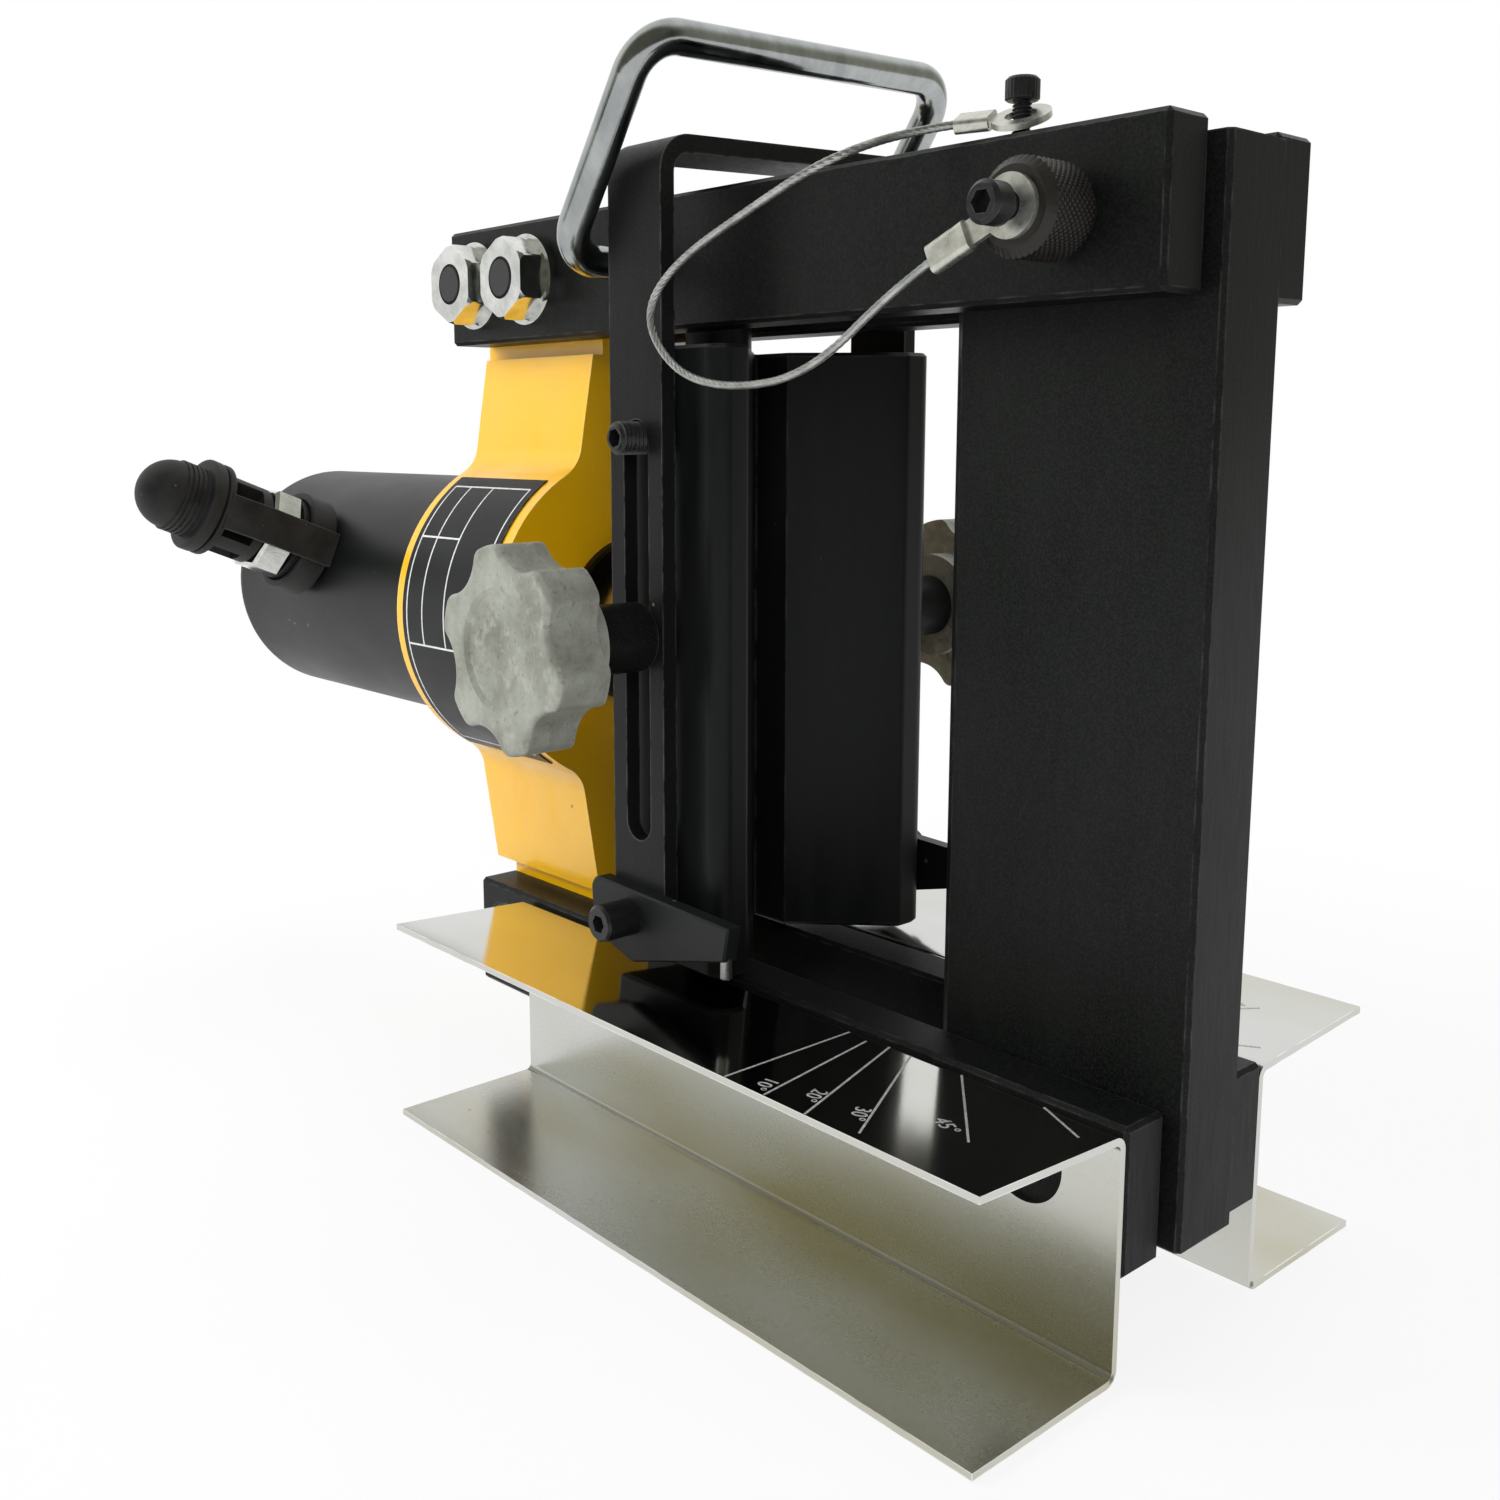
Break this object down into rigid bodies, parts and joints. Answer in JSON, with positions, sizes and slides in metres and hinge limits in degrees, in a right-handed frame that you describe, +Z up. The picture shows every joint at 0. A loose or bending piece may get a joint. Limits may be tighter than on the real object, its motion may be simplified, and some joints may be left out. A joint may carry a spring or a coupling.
{
  "type": "hydraulic busbar bender",
  "caption": "Hydraulic busbar bender: a ram drives a vee die along an open bar frame towards an upright bending nose, over base channels with an angle scale.",
  "frame": {"origin": "middle of the base channels' footprint, on the bench", "axes": "+X along the ram towards the bending post, -Y the front with the hose coupler, +Z up"},
  "size_m": [0.4645, 0.2187, 0.3517],
  "materials": {
    "black_oxide": "satin black oxide on steel, bright at worn edges",
    "black_paint": "satin black paint on steel",
    "yellow_paint": "glossy yellow paint on a rough casting",
    "zinc": "bright zinc plating with a faint yellow tint",
    "raw_cast": "raw grey casting, tumbled",
    "bronze_grey": "dull brownish bearing metal",
    "bright_steel": "ground steel",
    "chrome_rod": "polished hard chrome",
    "label_black": "black film with plain ruled lines",
    "black_rubber": "semi-gloss moulded rubber",
    "seal_rubber": "seal compound",
    "tinned": "tinned copper",
    "wire_rope": "stranded galvanised wire"
  },
  "bodies": {
    "frame": {"top_bar_front": "black_oxide", "top_bar_rear": "black_oxide", "low_bar_front": "black_oxide", "low_bar_rear": "black_oxide", "end_post": "black_oxide", "post_low_pin": "bright_steel", "channel_front": "zinc", "channel_rear": "zinc", "top_bolts": "black_oxide", "top_washers": "zinc", "top_nuts": "zinc", "low_screws": "black_oxide", "casting": "yellow_paint", "rating_plate": "label_black", "cylinder": "black_paint", "gland_bush": "bronze_grey", "ram_wiper": "seal_rubber", "return_spring": "bright_steel", "coupler_hex": "zinc", "coupler_nipple": "bright_steel", "dust_leash": "black_rubber", "lanyard_screw": "black_oxide", "lug_top": "tinned", "lanyard": "wire_rope"},
    "ram_set": {"ram": "chrome_rod", "piston": "bright_steel", "piston_seal": "seal_rubber", "vee_die": "black_oxide", "guide_studs": "black_oxide", "die_screws": "black_oxide", "grub_screws": "black_oxide", "studs": "bright_steel", "spacers": "black_oxide"},
    "strap_set": {"strap": "black_oxide", "pointer_front": "black_oxide", "pointer_rear": "black_oxide", "pointer_screws": "black_oxide", "needles": "bright_steel"},
    "front_knob": {"knob_front": "raw_cast"},
    "rear_knob": {"knob_rear": "raw_cast"},
    "handle_set": {"handle": "zinc"},
    "pull_set": {"pull_pin": "bright_steel", "pull_knob": "black_oxide", "pull_screw": "black_oxide", "lug_low": "tinned"},
    "cap_set": {"dust_cap": "black_rubber"}
  },
  "joints": [
    {"name": "ram_slide", "type": "slide", "parent": "frame", "child": "ram_set", "axis": [1, 0, 0], "range_m": [0, 0.065], "stiffness_N_per_m": 10600, "springref_m": -0.01, "deforming": ["return_spring"]},
    {"name": "strap_lift", "type": "slide", "parent": "ram_set", "child": "strap_set", "axis": [0, 0, 1], "range_m": [0, 0.008]},
    {"name": "front_knob_turn", "type": "hinge", "parent": "ram_set", "child": "front_knob", "pos_m": [-0.03425, -0.09, 0.1745], "axis": [0, 1, 0], "continuous": true},
    {"name": "rear_knob_turn", "type": "hinge", "parent": "ram_set", "child": "rear_knob", "pos_m": [-0.03425, 0.09, 0.1745], "axis": [0, 1, 0], "continuous": true},
    {"name": "handle_swing", "type": "hinge", "parent": "frame", "child": "handle_set", "pos_m": [-0.06, 0, 0.2864], "axis": [0, 1, 0], "range_deg": [-100, 0]},
    {"name": "pull_pin_draw", "type": "slide", "parent": "frame", "child": "pull_set", "axis": [0, -1, 0], "range_m": [0, 0.055], "deforming": ["lanyard"]},
    {"name": "cap_pull", "type": "slide", "parent": "frame", "child": "cap_set", "axis": [0, -0.9245, 0.3811], "range_m": [0, 0.04], "deforming": ["dust_leash"]}
  ]
}
